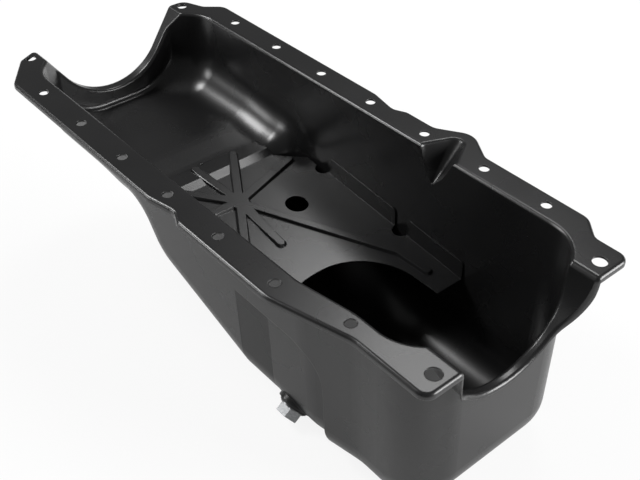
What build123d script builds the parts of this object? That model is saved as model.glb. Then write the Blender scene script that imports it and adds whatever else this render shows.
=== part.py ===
from build123d import *
import math
import os

# Stamped steel engine oil pan with a rear sump, in millimetres.
# X runs from the front of the engine to its rear, Y to the engine's right side, Z up.
# The origin is the middle of the rail's bolt pattern, on the gasket face.

# Sheet metal
sheet = 1.5
lip_height = 5.0
arch_lip_height = 3.5
mouth_bend = 3.0

# Drawn trough and sump, inside faces
wall_half_width = 89.8
front_wall = -227.6
rear_wall = 282.7
trough_depth = 77.6
shelf_depth = 80.7
shelf_start = -87.0
shelf_end = -64.0
ramp_start = (-42.0, 121.0)
sump_start = 126.0
sump_depth = 181.8
near_wall_lean = 0.045
near_wall_step = 8.8
bottom_radius = 37.0
corner_radius = 40.0
front_foot_radius = 6.0

# Rail bolt pattern
bolt_margin = 14.34
bolt_half_width = wall_half_width + bolt_margin
bolt_pitch = 66.04
bolt_hole = 8.7
bolts_per_side = 6
rear_rail_bolt_x = 227.4
rear_rail_bolt_near = wall_half_width + 1.1
front_corner_bolt = (-229.3, wall_half_width - 5.8)
front_corner_hole = 9.5
rear_corner_bolt = (293.3, wall_half_width - 8.25)
rear_corner_hole = 11.4

# End arches, round the crankshaft line
front_arch_radius = 61.3
front_arch_opening = wall_half_width - 15.0
front_arch_bend = 5.0
rear_arch_radius = 65.0
rear_arch_bend = 5.0

# Flange outline
rail_half_width = bolt_half_width + 13.76
front_edge = -240.6
rear_edge = 305.0
rear_rim = 292.0
front_ear_far = wall_half_width + 3.0
front_ear_near = wall_half_width + 3.6
rear_ear_far = wall_half_width + 12.2
rear_ear_near = wall_half_width + 10.2
relief_depth = 5.0
near_bend_x = 172.0
bulge_tip = (125.9, rail_half_width + 18.1)

# Dipstick pocket in the far wall
pocket_depth = 30.0
pocket_bend_depth = 22.0
pocket_x = 124.5
pocket_reach = 39.7

# Shallow recess pressed into the near sump wall
recess_depth = 6.0
recess_top = 66.6
recess_front = 91.0
recess_ramp = 32.0
recess_rear = 190.0
recess_corner = 34.0

# Sump baffle
baffle_sheet = 1.2
baffle_front = -82.8
baffle_joggle = (-65.0, -56.0)
joggle_drop = 2.9
baffle_slope = 5.7
baffle_rear = 168.0
baffle_edge_gap = 3.0
tab_height = 17.0
tab_spans = ((-5.0, 86.0), (101.5, 168.0))
relief_radius = 7.0
oil_hole = (12.5, 36.6, 21.0)
pickup_front = 89.7
bead_width = 9.0
bead_height = 2.6
star_hub = (-17.7, -5.1)

# Drain plug
drain_x = 140.3
drain_angle = 38.0
drain_pad_radius = 14.0
drain_pad_height = 1.0
thread_diameter = 14.0
plug_across_flats = 19.0
plug_head = 8.0
plug_flange = 23.0
plug_flange_height = 1.2
gasket_diameter = 25.6
gasket_thickness = 2.0
boss_diameter = 26.0
boss_length = 10.0

reach = 400.0


def rail_outline(inset):
    """Outer edge of the flange, moved inwards by inset."""
    half = rail_half_width
    dip = rail_half_width - relief_depth
    corners = [
        (front_edge, -front_arch_opening - 4, 3),
        (front_edge + 7.6, -front_ear_near, 5),
        (front_edge + 43, -half, 16),
        (25.6, -half, 20),
        (50, -dip, 8),
        (54.5, -dip, 6),
        (65.4, -half, 8),
        (near_bend_x, -half, 30),
        (near_bend_x + 67, -rear_ear_near, 30),
        (rear_edge, -rear_ear_near, 9),
        (rear_edge, -rear_arch_radius - 2, 5),
        (rear_rim, 17 - rear_arch_radius, 20),
        (rear_rim, rear_arch_radius - 17, 20),
        (rear_edge, rear_arch_radius + 2, 5),
        (rear_edge, rear_ear_far, 9),
        (rear_edge - 30.5, rear_ear_far, 10),
        (rear_edge - 47.5, half - 1, 14),
        (bulge_tip[0] + 28.6, half, 12),
        (bulge_tip[0], bulge_tip[1], 17),
        (bulge_tip[0] - 28.9, half, 14),
        (65.4, half, 8),
        (54.5, dip, 6),
        (50, dip, 8),
        (25.6, half, 20),
        (front_edge + 38, half, 14),
        (front_edge + 24.1, front_ear_far + 9, 10),
        (front_edge, front_ear_far, 12),
    ]
    with BuildSketch(mode=Mode.PRIVATE) as outline:
        with BuildLine():
            FilletPolyline(*[c[:2] for c in corners], radius=[c[2] for c in corners], close=True)
        make_face()
        if inset:
            offset(amount=-inset)
    return outline.sketch


def mouth_outline(grow):
    """Plan of the drawn cavity at the gasket face."""
    half = wall_half_width
    near_rear = half - near_wall_step
    corners = [
        (front_wall, -half + 26.3, 0),
        (front_wall + 27.1, -half, corner_radius),
        (near_bend_x, -half, 60),
        (near_bend_x + 50, -near_rear, 60),
        (rear_wall, -near_rear, corner_radius),
        (rear_wall, half, corner_radius),
        (front_wall + 27.1, half, corner_radius),
        (front_wall, half - 26.3, 0),
    ]
    with BuildSketch(mode=Mode.PRIVATE) as outline:
        with BuildLine():
            FilletPolyline(*[c[:2] for c in corners], radius=[c[2] for c in corners], close=True)
        make_face()
        if grow:
            offset(amount=grow, kind=Kind.INTERSECTION)
    return outline.sketch


front_arch = (front_arch_radius, front_arch_opening, front_arch_bend)
rear_arch = (rear_arch_radius, rear_arch_radius, rear_arch_bend)


def saddle(x, arch, drop):
    """Space above the flange and one end arch, lowered by drop, as a face across the pan at x."""
    radius, opening, bend = arch
    rim = radius + min(drop, arch_lip_height)
    flare = math.acos(radius / opening)
    shoulder = (rim + 20 * math.sin(flare)) / math.cos(flare)
    touch = (rim * math.cos(flare), -rim * math.sin(flare))
    with BuildSketch(Plane.YZ.offset(x), mode=Mode.PRIVATE) as space:
        with Locations((0, -drop)):
            Rectangle(2 * reach, reach, align=(Align.CENTER, Align.MIN))
        Circle(rim)
        if opening > radius:
            Polygon((shoulder, 20), (-shoulder, 20), (-touch[0], touch[1]), touch, align=None)
        if bend > drop:
            meets = space.vertices().filter_by(lambda v: abs(v.Y + drop) < 0.01 and abs(v.X) < reach - 1)
            fillet(meets, bend - drop)
    return space.sketch


def drawn_form(grow):
    """Trough and sump as one solid block, its faces moved outwards by grow."""
    with BuildPart() as form:
        # Near wall leans inwards, the other walls stand upright
        extrude(mouth_outline(grow), amount=sump_depth + 60, dir=(0, near_wall_lean, -1))
        extrude(mouth_outline(grow), amount=sump_depth + 60, dir=(0, 0, -1), mode=Mode.INTERSECT)
        # Floor seen from the side: trough, shelf, steep drop, ramp and sump
        with BuildSketch(Plane.XZ):
            with BuildLine():
                FilletPolyline(
                    (front_wall, reach / 2),
                    (front_wall, -trough_depth),
                    (shelf_start - 31.2, -trough_depth),
                    (shelf_start, -shelf_depth),
                    (shelf_end, -shelf_depth),
                    (ramp_start[0], -ramp_start[1]),
                    (sump_start, -sump_depth),
                    (rear_wall + 20, -sump_depth),
                    (rear_wall + 20, reach / 2),
                    radius=[0, 0, 150, 80, 16, 60, 70, 0, 0],
                    close=True,
                )
            make_face()
            if grow:
                offset(amount=grow, kind=Kind.INTERSECTION)
        extrude(amount=reach, both=True, mode=Mode.INTERSECT)

        def round_bottom(edge):
            middle = edge.center()
            along = edge.tangent_at(0.5)
            crosses = abs(along.Y) > 0.95 and abs(middle.Y) < 30 and middle.X < rear_wall - 10
            return middle.Z < -60 and abs(along.Z) < 0.9 and not crosses and middle.X > front_wall + 3

        fillet(form.edges().filter_by(round_bottom), bottom_radius + grow)
        foot = form.faces().sort_by(Axis.X)[0].edges().filter_by(lambda e: e.center().Z < -2)
        fillet(foot, front_foot_radius + grow)
    return form.part


def dipstick_pocket(grow):
    """Half funnel that widens the far wall for the dipstick, steeper over its nose."""
    inner = wall_half_width - 6
    levels = [
        (0, (-20, pocket_reach + 6, 27), 8),
        (-pocket_bend_depth, (-11, 20.5, 13.5), 4),
        (-pocket_depth - grow, (-2.5, 9.5, 5.5), 1.2),
    ]
    sections = []
    for height, (front, tip, rear), rounding in levels:
        with BuildSketch(Plane.XY.offset(height), mode=Mode.PRIVATE) as section:
            with BuildLine():
                FilletPolyline(
                    (pocket_x + front, inner),
                    (pocket_x, inner + tip),
                    (pocket_x + rear, inner),
                    radius=[rounding, rounding, rounding],
                    close=True,
                )
            make_face()
            if grow:
                offset(amount=grow)
        sections.append(section.sketch.face())
    with BuildPart() as pocket:
        loft(sections=sections, ruled=True)
    return pocket.part


def recess_tool(grow):
    """Space outside the pressed-in part of the near sump wall, for the form grown by grow."""
    wall_y = -wall_half_width - grow
    wall = Plane((0, wall_y, 0), x_dir=(1, 0, 0), z_dir=(0, -1, -near_wall_lean))
    form = drawn_form(grow)
    foot = -reach / 2
    full_depth_x = recess_front + recess_ramp
    with BuildPart() as stamp:
        with BuildSketch(wall):
            with BuildLine():
                FilletPolyline(
                    (full_depth_x, foot),
                    (full_depth_x, -recess_top),
                    (recess_rear, -recess_top),
                    (recess_rear, foot),
                    radius=[0, 0, recess_corner, 0],
                    close=True,
                )
            make_face()
            if grow < sheet:
                offset(amount=sheet - grow)
        extrude(amount=50, both=True)
        add(Pos(0, recess_depth, 0) * form, mode=Mode.SUBTRACT)
    # The front end slopes in, as the same form turned about an upright line
    turn = math.degrees(math.atan2(recess_depth, recess_ramp))
    with BuildPart() as slope:
        with BuildSketch(wall):
            with Locations((recess_front, foot)):
                Rectangle(recess_ramp + 0.5, -foot - recess_top, align=(Align.MIN, Align.MIN))
        extrude(amount=50, both=True)
        hinge = Pos(recess_front, wall_y, 0)
        add(hinge * Rot(0, 0, turn) * hinge.inverse() * form, mode=Mode.SUBTRACT)
    return stamp.part + slope.part


# Drain plug axis, square to the sheet where the near wall turns into the floor
drain_lean = math.radians(drain_angle)
drain_axis = Vector(0, -math.cos(drain_lean), -math.sin(drain_lean))
fillet_middle_z = -sump_depth + bottom_radius
fillet_middle_y = -wall_half_width + recess_depth + near_wall_lean * -fillet_middle_z + bottom_radius
drain_seat = Vector(drain_x, fillet_middle_y, fillet_middle_z)
drain_seat += drain_axis * (bottom_radius + drain_pad_height)
seat_plane = Plane(drain_seat, x_dir=(1, 0, 0), z_dir=drain_axis)


def drain_pad(grow):
    """Flat round seat drawn out of the bottom edge of the sump."""
    with BuildPart() as pad:
        with BuildSketch(seat_plane.offset(grow)):
            Circle(drain_pad_radius + grow)
        extrude(amount=-26 - grow)
    return pad.part


with BuildPart() as cavity:
    add(drawn_form(0))
    add(recess_tool(0), mode=Mode.SUBTRACT)
    add(dipstick_pocket(0))
    add(drain_pad(0))

with BuildPart() as outside:
    add(drawn_form(sheet))
    add(recess_tool(sheet), mode=Mode.SUBTRACT)
    add(dipstick_pocket(sheet))
    add(drain_pad(sheet))


def flange_block(depth):
    """Block over the whole flange and both arches, its underside depth below their top faces."""
    with BuildPart() as block:
        extrude(saddle(0, rear_arch, depth), amount=rear_edge + 10, dir=(1, 0, 0))
        extrude(saddle(0, front_arch, depth), amount=10 - front_edge, dir=(-1, 0, 0))
        extrude(rail_outline(0), amount=lip_height + reach / 4, both=True, mode=Mode.INTERSECT)
    return block.part


with BuildPart() as lip:
    add(flange_block(lip_height))
    extrude(rail_outline(sheet), amount=reach, both=True, mode=Mode.SUBTRACT)


front_profile = saddle(0, front_arch, 0).face().outer_wire()
rear_profile = saddle(0, rear_arch, 0).face().outer_wire()


def on_top(edge):
    """True for an edge that lies on the gasket face or on an end arch."""
    middle = edge @ 0.5
    profile = front_profile if middle.X < 0 else rear_profile
    return profile.distance_to(Vertex(0, middle.Y, middle.Z)) < 0.01


def on_mouth(edge):
    """True for an edge between the flange and the cavity."""
    middle = edge @ 0.5
    along = edge % 0.5
    across = abs(along.X) > 0.99 and abs(middle.Y) < wall_half_width - 10
    in_length = front_wall - 0.1 < middle.X < rear_wall + 0.1
    by_pocket = abs(middle.X - pocket_x) < 27 and 0 < middle.Y < wall_half_width + pocket_reach
    return in_length and not across and (abs(middle.Y) < wall_half_width + 1 or by_pocket) and on_top(edge)


rail_holes = [
    ((i - (bolts_per_side - 1) / 2) * bolt_pitch, side * bolt_half_width)
    for side in (-1, 1)
    for i in range(bolts_per_side)
]

with BuildPart() as oil_pan:
    add(flange_block(sheet))
    add(lip.part)
    add(outside.part)
    extrude(saddle(0, rear_arch, 0), amount=reach, dir=(1, 0, 0), mode=Mode.SUBTRACT)
    extrude(saddle(0, front_arch, 0), amount=reach, dir=(-1, 0, 0), mode=Mode.SUBTRACT)
    add(cavity.part, mode=Mode.SUBTRACT)
    fillet(oil_pan.edges().filter_by(on_mouth), mouth_bend)
    # Bolt holes: the even rows, the last pair and the four corners
    with Locations(*rail_holes):
        Hole(bolt_hole / 2, depth=lip_height)
    with Locations((rear_rail_bolt_x, -rear_rail_bolt_near, 0), (rear_rail_bolt_x, bolt_half_width, 0)):
        Hole(bolt_hole / 2, depth=lip_height)
    with Locations(*[(front_corner_bolt[0], side * front_corner_bolt[1], 0) for side in (-1, 1)]):
        Hole(front_corner_hole / 2, depth=lip_height)
    with Locations(*[(rear_corner_bolt[0], side * rear_corner_bolt[1], 0) for side in (-1, 1)]):
        Hole(rear_corner_hole / 2, depth=lip_height)
    with Locations(seat_plane.offset(sheet)):
        Hole(thread_diameter / 2 + 1, depth=sheet + 1)

# Threaded boss welded inside, sealing washer and plug outside, all on the drain axis
with BuildPart() as drain_boss:
    with BuildSketch(seat_plane):
        Circle(boss_diameter / 2)
        Circle(thread_diameter / 2 - 0.6, mode=Mode.SUBTRACT)
    extrude(amount=-boss_length)
    rings = drain_boss.edges().filter_by(GeomType.CIRCLE)
    chamfer(rings.sort_by(lambda e: -(e.center() - drain_seat).length)[0:2], 1)

with BuildPart() as drain_gasket:
    with BuildSketch(seat_plane.offset(sheet)):
        Circle(gasket_diameter / 2)
        Circle(thread_diameter / 2 + 0.3, mode=Mode.SUBTRACT)
    extrude(amount=gasket_thickness)

head_plane = seat_plane.offset(sheet + gasket_thickness)
with BuildPart() as drain_plug:
    with BuildSketch(head_plane):
        Circle(plug_flange / 2)
    extrude(amount=plug_flange_height)
    with BuildSketch(head_plane.offset(plug_flange_height)):
        RegularPolygon(plug_across_flats / 2, 6, major_radius=False)
    extrude(amount=plug_head)
    with BuildSketch(head_plane):
        Circle(thread_diameter / 2 - 0.6)
    extrude(amount=-gasket_thickness - sheet - boss_length - 2)

# Sump baffle: a flange lies on the shelf, the deck slopes back from it over the sump
deck_tilt = math.radians(baffle_slope)
flange_top = -shelf_depth + baffle_sheet
deck_start = (baffle_joggle[1], flange_top - joggle_drop)
deck_plane = Plane(
    (deck_start[0], 0, deck_start[1]),
    x_dir=(math.cos(deck_tilt), 0, -math.sin(deck_tilt)),
    z_dir=(math.sin(deck_tilt), 0, math.cos(deck_tilt)),
)


def deck_height(x):
    """Height of the deck's top face at x."""
    return deck_start[1] - (x - deck_start[0]) * math.tan(deck_tilt)


def star(inset):
    """Eight stiffening beads that meet at one hub, drawn on the deck."""
    ends = [
        (-77.3, 31.2),
        (-78.8, -10.8),
        (-60.0, -41.0),
        (-22.0, -62.0),
        (38.0, -39.5),
        (45.3, -7.6),
        (-40.1, 69.7),
        (113.9, 67.5),
    ]
    with BuildSketch(mode=Mode.PRIVATE) as beads:
        Circle(bead_width + 1)
        for start, end in [(star_hub, end) for end in ends] + [(ends[-1], (144.8, 71.3))]:
            run = Vector(*end) - Vector(*start)
            middle = (Vector(*end) + Vector(*start)) / 2 - Vector(*star_hub)
            with Locations(middle):
                SlotCenterToCenter(run.length, bead_width, rotation=math.degrees(math.atan2(run.Y, run.X)))
        if inset:
            offset(amount=-inset)
    return beads.sketch


hub_plane = Plane(
    (star_hub[0], star_hub[1], deck_height(star_hub[0])),
    x_dir=deck_plane.x_dir,
    z_dir=deck_plane.z_dir,
)

far = wall_half_width - baffle_edge_gap
near = wall_half_width - 8 - baffle_edge_gap
tabs_at = [(1, tab_spans[0], far), (1, tab_spans[1], far), (-1, tab_spans[0], near)]

with BuildPart() as tabs:
    for side, (front, rear), edge in tabs_at:
        with BuildSketch(Plane.XZ):
            with BuildLine():
                FilletPolyline(
                    (front, deck_height(front) - baffle_sheet / 2),
                    (front, deck_height(front) + tab_height),
                    (rear, deck_height(rear) + tab_height),
                    (rear, deck_height(rear) - baffle_sheet / 2),
                    radius=[0, 4, 4, 0],
                    close=True,
                )
            make_face()
        extrude(amount=-side * (wall_half_width + 10))
    add(drawn_form(0), mode=Mode.INTERSECT)
    add(drawn_form(-baffle_sheet), mode=Mode.SUBTRACT)

with BuildPart() as sump_baffle:
    with BuildSketch(Plane.XZ):
        with BuildLine():
            FilletPolyline(
                (baffle_front, flange_top),
                (baffle_joggle[0], flange_top),
                deck_start,
                (baffle_rear, deck_height(baffle_rear)),
                radius=4,
            )
            offset(amount=baffle_sheet, side=Side.RIGHT)
        make_face()
    extrude(amount=wall_half_width + 10, both=True)
    # Plan of the blank, with the pickup's cut-out at the rear
    with BuildSketch(Plane.XY):
        with BuildLine():
            Polyline(
                (baffle_rear, 60.6),
                (baffle_rear, far),
                (-33, far),
                (-54.7, 62.5),
                (baffle_front, 64),
                (baffle_front, -60),
                (-54.7, -60),
                (-33, -near),
                (tab_spans[0][1] + 4, -near),
                (tab_spans[0][1] + 14, -72),
                (118, -72),
            )
            Line((baffle_rear, 60.6), (140, 58))
            ThreePointArc((140, 58), (102.9, 36.1), (pickup_front, -3))
            ThreePointArc((pickup_front, -3), (97, -41), (118, -72))
        make_face()
        for side, (front, rear), edge in tabs_at:
            with Locations(((front + rear) / 2, side * (wall_half_width + 2))):
                Rectangle(rear - front, 2 * (wall_half_width + 7 - edge))
        with Locations(oil_hole[:2]):
            Circle(oil_hole[2] / 2, mode=Mode.SUBTRACT)
        for x in (tab_spans[0][0] - relief_radius, (tab_spans[0][1] + tab_spans[1][0]) / 2):
            with Locations((x, wall_half_width - 2), (x, 5 - wall_half_width)):
                Circle(relief_radius, mode=Mode.SUBTRACT)
    extrude(amount=-reach / 2, mode=Mode.INTERSECT)
    with BuildSketch(hub_plane):
        add(star(0))
    extrude(amount=bead_height)
    with BuildSketch(hub_plane.offset(-baffle_sheet * 3)):
        add(star(baffle_sheet))
    extrude(amount=bead_height + 2 * baffle_sheet, mode=Mode.SUBTRACT)
    add(cavity.part, mode=Mode.INTERSECT)
    add(tabs.part)

oil_pan.part.label = "oil_pan"
sump_baffle.part.label = "sump_baffle"
drain_boss.part.label = "drain_boss"
drain_gasket.part.label = "drain_gasket"
drain_plug.part.label = "drain_plug"

os.makedirs("parts", exist_ok=True)
export_step(oil_pan.part, "parts/oil_pan.step")
export_step(sump_baffle.part, "parts/sump_baffle.step")
export_step(drain_boss.part, "parts/drain_boss.step")
export_step(drain_gasket.part, "parts/drain_gasket.step")
export_step(drain_plug.part, "parts/drain_plug.step")
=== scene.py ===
import math

import bmesh
import bpy
from mathutils import Matrix, Vector


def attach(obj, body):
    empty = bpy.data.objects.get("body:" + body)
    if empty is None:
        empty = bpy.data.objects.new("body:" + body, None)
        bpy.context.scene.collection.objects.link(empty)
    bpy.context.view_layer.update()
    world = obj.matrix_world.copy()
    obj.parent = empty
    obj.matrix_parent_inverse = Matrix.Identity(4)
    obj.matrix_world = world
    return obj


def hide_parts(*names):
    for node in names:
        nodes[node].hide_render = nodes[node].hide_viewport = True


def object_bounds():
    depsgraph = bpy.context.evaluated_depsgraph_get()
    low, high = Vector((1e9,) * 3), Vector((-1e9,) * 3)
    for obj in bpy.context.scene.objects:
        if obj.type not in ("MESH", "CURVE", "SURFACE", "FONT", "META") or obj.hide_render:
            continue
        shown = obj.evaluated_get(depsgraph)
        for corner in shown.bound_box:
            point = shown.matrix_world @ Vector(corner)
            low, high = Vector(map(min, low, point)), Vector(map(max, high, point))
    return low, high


# Looks of the oil pan: satin black coat, zinc plated drain plug, white studio floor.
# Metres, in the part's own frame: X to the engine's rear, Y to its right side, Z up.

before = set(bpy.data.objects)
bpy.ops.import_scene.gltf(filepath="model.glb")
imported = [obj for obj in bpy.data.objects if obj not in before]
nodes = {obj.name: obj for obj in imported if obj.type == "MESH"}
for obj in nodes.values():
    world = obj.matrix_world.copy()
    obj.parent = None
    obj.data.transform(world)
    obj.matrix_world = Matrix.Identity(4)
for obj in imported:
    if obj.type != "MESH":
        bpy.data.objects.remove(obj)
start_bounds = [list(corner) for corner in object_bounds()]
MM = 0.001

# Camera, at the photograph's angle
camera_place = (0.5563, -0.3916, 0.4325)
camera_azimuth = 50.07
camera_elevation = 39.20
camera_roll = -0.265
camera_lens = 53.96
camera_near_limit = 0.05
sensor_width = 36.0

# Render
picture_size = (1280, 960)
samples = 96

# Patterns, as cycles per metre and detail
coat_cloud = (14.0, 3.0)
coat_peel = (1400.0, 2.0)
zinc_grain = (900.0, 4.0)
rubber_grain = (700.0, 3.0)
floor_fibre = (3.0, 2.0)
pattern_roughness = 0.5
tint_span = (0.3, 0.7)

# Satin black coat
coat_dark = (0.010, 0.010, 0.0103)
coat_light = (0.013, 0.013, 0.0133)
coat_roughness = (0.25, 0.30)
coat_specular = 0.5
peel_height = 0.02 * MM
peel_strength = 0.5
pan_edge_radius = 1.0 * MM
baffle_edge_radius = 0.8 * MM
coat_edge_samples = 8

# Zinc plating
zinc_dark = (0.20, 0.205, 0.21)
zinc_light = (0.34, 0.345, 0.35)
zinc_roughness = (0.28, 0.42)
grain_height = 0.01 * MM
grain_strength = 0.4
zinc_edge_radius = 0.4 * MM
zinc_edge_samples = 6

# Sealing washer
rubber_dark = (0.018, 0.018, 0.019)
rubber_light = (0.03, 0.03, 0.031)
rubber_roughness = (0.55, 0.75)

# Sump baffle's deck, as in the part, and the slope of its pressed beads' sides
deck_start = (-56.0 * MM, -82.4 * MM)
deck_slope = 5.7
bead_height = 2.6 * MM
bead_top_inset = 1.3 * MM
bead_foot_spread = 0.5 * MM

# How the baffle's mesh is read: merging, sides and flats by their normals, levels and climbing edges
merge_distance = 0.001 * MM
side_facing = 0.2
flat_facing = 0.95
level_tolerance = 0.1 * MM
least_rise = 1 * MM

# Tack welds on the baffle's front edge, in millimetres
tack_places = ((-83.2, -0.5), (-82.4, 57.8), (-82.9, -42.0))
tack_radius = 1.9 * MM
tack_flattening = 0.45
baffle_top = -79.5 * MM

# Ledge over the front end of the recess in the near sump wall
ledge_top = -65.1 * MM
ledge_thickness = 1.5 * MM
ledge_front = 97.0 * MM
ledge_rear = 123.5 * MM
ledge_wall = -88.2 * MM
ledge_depth = (2.6 * MM, 7.5 * MM)

# Studio floor, wide enough to reach the horizon in low views, and the world's light
floor_gap = 1.0 * MM
floor_size = 80.0
floor_white = 0.92
floor_shade = 0.01
floor_glow = 0.88
floor_glow_mirrored = 0.1
world_level = 0.16

# Softboxes: name, place, target, width, height and watts
softboxes = (
    ("back_softbox", (-0.80, 1.22, 2.04), (0, 0, 0), 0.7, 0.7, 14),
    ("left_softbox", (-1.50, -0.85, 1.80), (-0.05, 0, -0.05), 0.7, 0.7, 34),
    ("low_softbox", (-1.15, -1.40, 0.62), (0.28, 0.06, -0.03), 0.6, 0.5, 9),
    ("side_softbox", (1.9, 1.3, 0.6), (0.25, 0, -0.1), 1.4, 1.2, 80),
)


def new_material(name):
    """Empty node material; returns the material, its nodes and its links."""
    material = bpy.data.materials.new(name)
    material.use_nodes = True
    tree = material.node_tree
    tree.nodes.clear()
    return material, tree.nodes, tree.links


def new_surface(name):
    """Material with a principled shader; returns it, its nodes, its links and the shader's inputs."""
    material, tree_nodes, links = new_material(name)
    shader = tree_nodes.new("ShaderNodeBsdfPrincipled")
    output = tree_nodes.new("ShaderNodeOutputMaterial")
    links.new(shader.outputs["BSDF"], output.inputs["Surface"])
    return material, tree_nodes, links, shader.inputs


def noise(tree_nodes, links, scale, detail):
    """Noise over the part's own coordinates, in cycles per metre."""
    place = tree_nodes.new("ShaderNodeTexCoord")
    texture = tree_nodes.new("ShaderNodeTexNoise")
    texture.inputs["Scale"].default_value = scale
    texture.inputs["Detail"].default_value = detail
    texture.inputs["Roughness"].default_value = pattern_roughness
    links.new(place.outputs["Object"], texture.inputs["Vector"])
    return texture.outputs["Fac"]


def spread(tree_nodes, links, value, low, high):
    """Maps a 0 to 1 value onto low to high."""
    mapping = tree_nodes.new("ShaderNodeMapRange")
    mapping.inputs["To Min"].default_value = low
    mapping.inputs["To Max"].default_value = high
    links.new(value, mapping.inputs["Value"])
    return mapping.outputs["Result"]


def tint(tree_nodes, links, value, dark, light):
    """Colour that runs from dark to light over the middle of a 0 to 1 value."""
    ramp = tree_nodes.new("ShaderNodeValToRGB")
    for element, position, colour in zip(ramp.color_ramp.elements, tint_span, (dark, light)):
        element.position = position
        element.color = (*colour, 1)
    links.new(value, ramp.inputs["Fac"])
    return ramp.outputs["Color"]


def soft_edge(tree_nodes, radius, edge_samples):
    """Normal that rounds the edges in the shading."""
    node = tree_nodes.new("ShaderNodeBevel")
    node.samples = edge_samples
    node.inputs["Radius"].default_value = radius
    return node.outputs["Normal"]


def bump(tree_nodes, links, height, distance, strength, under):
    """Normal that follows a height map, distance in metres, over another normal."""
    node = tree_nodes.new("ShaderNodeBump")
    node.inputs["Distance"].default_value = distance
    node.inputs["Strength"].default_value = strength
    links.new(height, node.inputs["Height"])
    links.new(under, node.inputs["Normal"])
    return node.outputs["Normal"]


def satin_black(name, edge_radius):
    """Satin black coat over pressed steel, with a faint orange peel and softened edges."""
    material, tree_nodes, links, inputs = new_surface(name)
    cloud = noise(tree_nodes, links, *coat_cloud)
    peel = noise(tree_nodes, links, *coat_peel)
    edge = soft_edge(tree_nodes, edge_radius, coat_edge_samples)
    normal = bump(tree_nodes, links, peel, peel_height, peel_strength, edge)
    links.new(tint(tree_nodes, links, cloud, coat_dark, coat_light), inputs["Base Color"])
    links.new(spread(tree_nodes, links, cloud, *coat_roughness), inputs["Roughness"])
    links.new(normal, inputs["Normal"])
    inputs["Specular IOR Level"].default_value = coat_specular
    return material


def zinc_plate():
    """Bright zinc plating with a light grain."""
    material, tree_nodes, links, inputs = new_surface("zinc_plate")
    grain = noise(tree_nodes, links, *zinc_grain)
    edge = soft_edge(tree_nodes, zinc_edge_radius, zinc_edge_samples)
    normal = bump(tree_nodes, links, grain, grain_height, grain_strength, edge)
    links.new(tint(tree_nodes, links, grain, zinc_dark, zinc_light), inputs["Base Color"])
    links.new(spread(tree_nodes, links, grain, *zinc_roughness), inputs["Roughness"])
    links.new(normal, inputs["Normal"])
    inputs["Metallic"].default_value = 1.0
    return material


def dark_rubber():
    """Matt dark sealing washer."""
    material, tree_nodes, links, inputs = new_surface("gasket_rubber")
    grain = noise(tree_nodes, links, *rubber_grain)
    links.new(tint(tree_nodes, links, grain, rubber_dark, rubber_light), inputs["Base Color"])
    links.new(spread(tree_nodes, links, grain, *rubber_roughness), inputs["Roughness"])
    return material


def dress(node, material):
    """Gives a CAD node its finish."""
    mesh = nodes[node].data
    mesh.materials.clear()
    mesh.materials.append(material)


def add_object(name, data, material):
    """Puts a mesh with its material into the scene and returns the object."""
    data.materials.append(material)
    piece = bpy.data.objects.new(name, data)
    bpy.context.scene.collection.objects.link(piece)
    return piece


def pressed_baffle(material):
    """Copy of the baffle whose beads have sloping sides, as a press leaves them."""
    tilt = math.radians(deck_slope)
    up = Vector((math.sin(tilt), 0, math.cos(tilt)))
    start = Vector((deck_start[0], 0, deck_start[1]))
    mesh = bmesh.new()
    mesh.from_mesh(nodes["sump_baffle"].data)
    bmesh.ops.remove_doubles(mesh, verts=mesh.verts, dist=merge_distance)
    mesh.normal_update()
    moves = {}
    for vertex in mesh.verts:
        height = (vertex.co - start).dot(up)
        sides = [face.normal for face in vertex.link_faces if abs(face.normal.dot(up)) < side_facing]
        flats = [face for face in vertex.link_faces if face.normal.dot(up) > flat_facing]
        if not sides or not flats:
            continue
        out = sum(sides, Vector()).normalized()
        rises = [edge.other_vert(vertex).co.dot(up) - vertex.co.dot(up) for edge in vertex.link_edges]
        if abs(height - bead_height) < level_tolerance:
            moves[vertex] = -out * bead_top_inset
        elif abs(height) < level_tolerance and max(rises) > least_rise:
            moves[vertex] = out * bead_foot_spread
    for vertex, move in moves.items():
        vertex.co += move
    for face in mesh.faces:
        face.smooth = False
    data = bpy.data.meshes.new("pressed_baffle")
    mesh.to_mesh(data)
    mesh.free()
    piece = add_object("pressed_baffle", data, material)
    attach(piece, "root")
    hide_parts("sump_baffle")


def tack_welds(material):
    """Small flattened weld nuggets along the baffle's front edge."""
    mesh = bmesh.new()
    for x, y in tack_places:
        place = Matrix.Translation((x * MM, y * MM, baffle_top)) @ Matrix.Diagonal((1, 1, tack_flattening, 1))
        bmesh.ops.create_icosphere(mesh, subdivisions=3, radius=tack_radius, matrix=place)
    for face in mesh.faces:
        face.smooth = True
    data = bpy.data.meshes.new("tack_welds")
    mesh.to_mesh(data)
    mesh.free()
    piece = add_object("tack_welds", data, material)
    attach(piece, "root")


def recess_ledge(material):
    """Sheet that closes the step over the recess's sloping front end."""
    plan = [
        (ledge_front, ledge_wall),
        (ledge_rear, ledge_wall),
        (ledge_rear, ledge_wall + ledge_depth[1]),
        (ledge_front, ledge_wall + ledge_depth[0]),
    ]
    low = [(x, y, ledge_top - ledge_thickness) for x, y in plan]
    high = [(x, y, ledge_top) for x, y in plan]
    sides = [(i, (i + 1) % 4, (i + 1) % 4 + 4, i + 4) for i in range(4)]
    data = bpy.data.meshes.new("recess_ledge")
    data.from_pydata(low + high, [], [(3, 2, 1, 0), (4, 5, 6, 7)] + sides)
    piece = add_object("recess_ledge", data, material)
    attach(piece, "root")


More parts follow.
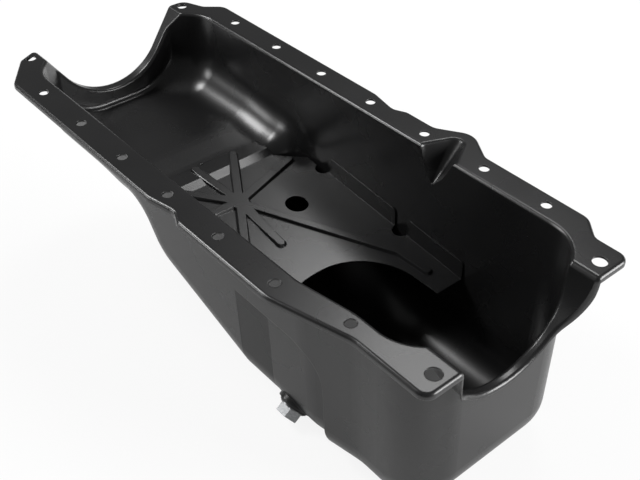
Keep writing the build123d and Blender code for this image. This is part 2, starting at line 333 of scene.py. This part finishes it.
def studio_floor():
    """White paper floor under the part; the camera and reflections see some of it as lit paper."""
    low = start_bounds[0][2] - floor_gap
    bpy.ops.mesh.primitive_plane_add(size=floor_size, location=(0, 0, low))
    floor = bpy.context.object
    floor.name = "studio_floor"
    material, tree_nodes, links = new_material("studio_white")
    paper = tree_nodes.new("ShaderNodeBsdfDiffuse")
    glow = tree_nodes.new("ShaderNodeEmission")
    rays = tree_nodes.new("ShaderNodeLightPath")
    direct = tree_nodes.new("ShaderNodeMath")
    share = tree_nodes.new("ShaderNodeMath")
    blend = tree_nodes.new("ShaderNodeMixShader")
    output = tree_nodes.new("ShaderNodeOutputMaterial")
    fibre = noise(tree_nodes, links, *floor_fibre)
    shades = tint(tree_nodes, links, fibre, (floor_white - floor_shade,) * 3, (floor_white,) * 3)
    links.new(shades, paper.inputs["Color"])
    glow.inputs["Strength"].default_value = 1.0
    direct.operation = "MULTIPLY"
    direct.inputs[1].default_value = floor_glow
    links.new(rays.outputs["Is Camera Ray"], direct.inputs[0])
    share.operation = "MULTIPLY_ADD"
    share.inputs[1].default_value = floor_glow_mirrored
    links.new(rays.outputs["Is Glossy Ray"], share.inputs[0])
    links.new(direct.outputs[0], share.inputs[2])
    links.new(share.outputs[0], blend.inputs["Fac"])
    links.new(paper.outputs["BSDF"], blend.inputs[1])
    links.new(glow.outputs["Emission"], blend.inputs[2])
    links.new(blend.outputs["Shader"], output.inputs["Surface"])
    floor.data.materials.append(material)


def softbox(name, place, target, width, height, power):
    """Rectangular area light aimed at a point."""
    light = bpy.data.lights.new(name, "AREA")
    light.shape = "RECTANGLE"
    light.size = width
    light.size_y = height
    light.energy = power
    box = bpy.data.objects.new(name, light)
    bpy.context.scene.collection.objects.link(box)
    box.location = place
    aim = Vector(target) - Vector(place)
    box.rotation_euler = aim.to_track_quat("-Z", "Y").to_euler()


def studio_world():
    """Even grey light from all round."""
    world = bpy.data.worlds.new("studio")
    bpy.context.scene.world = world
    world.use_nodes = True
    background = world.node_tree.nodes["Background"]
    background.inputs["Color"].default_value = (1, 1, 1, 1)
    background.inputs["Strength"].default_value = world_level


def photo_camera():
    """Camera at the photograph's place, turned by azimuth, elevation and roll."""
    data = bpy.data.cameras.new("photo_camera")
    data.lens = camera_lens
    data.sensor_width = sensor_width
    data.clip_start = camera_near_limit
    camera = bpy.data.objects.new("photo_camera", data)
    bpy.context.scene.collection.objects.link(camera)
    turn = Matrix.Rotation(math.radians(camera_azimuth), 4, "Z")
    tip = Matrix.Rotation(math.radians(90 - camera_elevation), 4, "X")
    roll = Matrix.Rotation(math.radians(camera_roll), 4, "Z")
    camera.matrix_world = Matrix.Translation(camera_place) @ turn @ tip @ roll
    bpy.context.scene.camera = camera


black = satin_black("satin_black", pan_edge_radius)
dress("oil_pan", black)
dress("drain_boss", black)
pressed_baffle(satin_black("satin_black_baffle", baffle_edge_radius))
tack_welds(black)
recess_ledge(black)
dress("drain_plug", zinc_plate())
dress("drain_gasket", dark_rubber())

studio_floor()
for row in softboxes:
    softbox(*row)
studio_world()
photo_camera()

scene = bpy.context.scene
scene.render.engine = "CYCLES"
scene.render.resolution_x, scene.render.resolution_y = picture_size
scene.cycles.samples = samples
scene.cycles.use_denoising = True
scene.view_settings.view_transform = "Standard"
scene.view_settings.look = "None"
scene.view_settings.exposure = 0.0
scene.view_settings.gamma = 1.0
